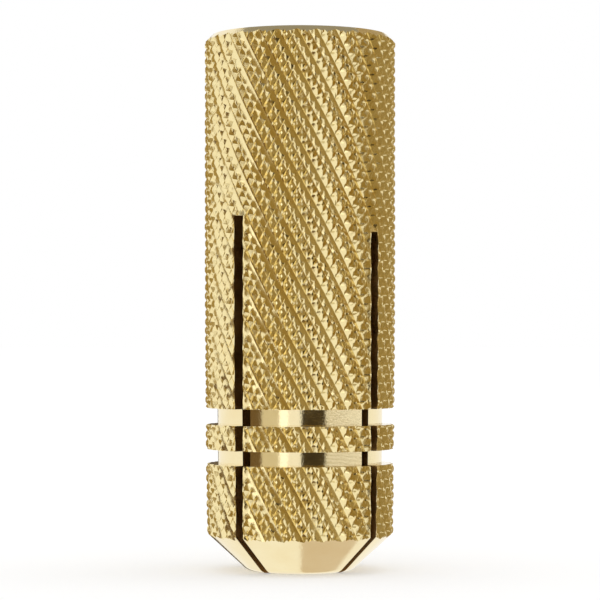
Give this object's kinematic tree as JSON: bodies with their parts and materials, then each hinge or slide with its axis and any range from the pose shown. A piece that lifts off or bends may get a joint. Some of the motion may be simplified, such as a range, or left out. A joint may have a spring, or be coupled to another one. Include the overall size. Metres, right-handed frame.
{
  "type": "knurled brass expansion anchor",
  "caption": "Knurled brass expansion anchor: a sleeve with a tapped bore, turned grooves and a coned tip, sawn into fingers that spread and grip in a drilled hole.",
  "frame": {"origin": "centre of the flat tip face, on which the anchor stands", "axes": "+Z along the bore, from the tip to the head where the screw goes in; the deeper saw slot lies in the YZ plane and the shallower one in the XZ plane"},
  "size_m": [0.01, 0.01, 0.028],
  "materials": {
    "brass": "turned brass, rolled diamond knurl, satin grooves and tip"
  },
  "bodies": {
    "root": {"anchor_sleeve": "brass"}
  },
  "joints": []
}
